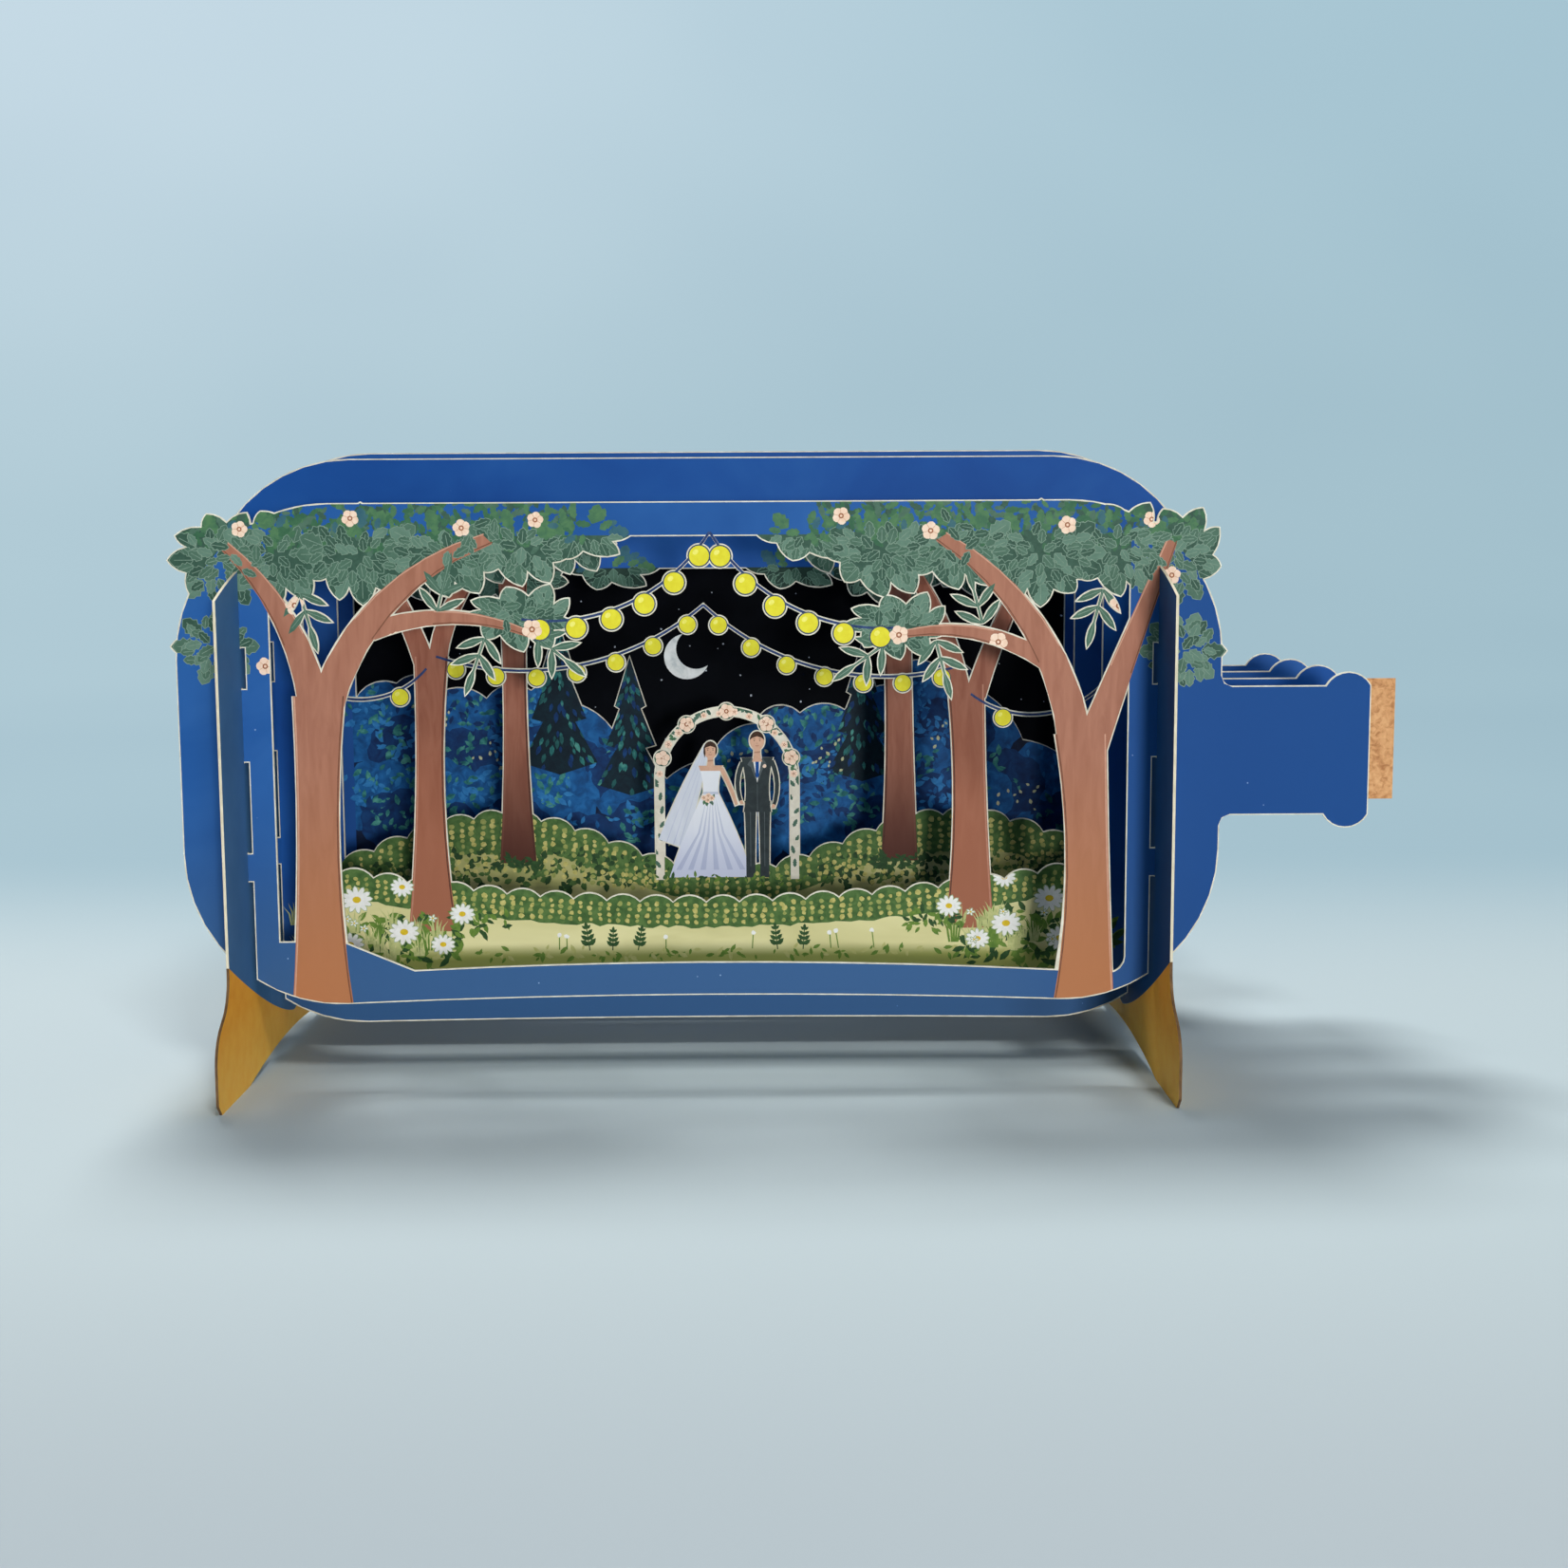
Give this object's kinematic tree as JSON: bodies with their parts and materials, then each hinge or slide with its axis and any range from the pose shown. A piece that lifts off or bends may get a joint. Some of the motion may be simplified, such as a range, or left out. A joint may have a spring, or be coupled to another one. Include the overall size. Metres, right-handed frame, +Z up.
{
  "type": "pop-up greeting card",
  "caption": "Standing pop-up greeting card shaped like a bottle on its side, with cut scenery sheets crossed by slotted ribs that end in feet.",
  "frame": {"origin": "on the table, at the middle of the card's whole length and midway between its front and back sheets", "axes": "+X along the bottle towards its cork, +Y from the front sheet to the back one, +Z up"},
  "size_m": [0.2316, 0.1144, 0.118],
  "materials": {
    "front_print": "matte",
    "second_print": "matte",
    "third_print": "matte",
    "back_print": "matte",
    "sky_print": "matte",
    "rib_print": "matte"
  },
  "bodies": {
    "root": {"front_sheet": "front_print", "second_sheet": "second_print", "third_sheet": "third_print", "back_sheet": "back_print", "sky_backing": "sky_print", "left_rib": "rib_print", "right_rib": "rib_print"}
  },
  "joints": []
}
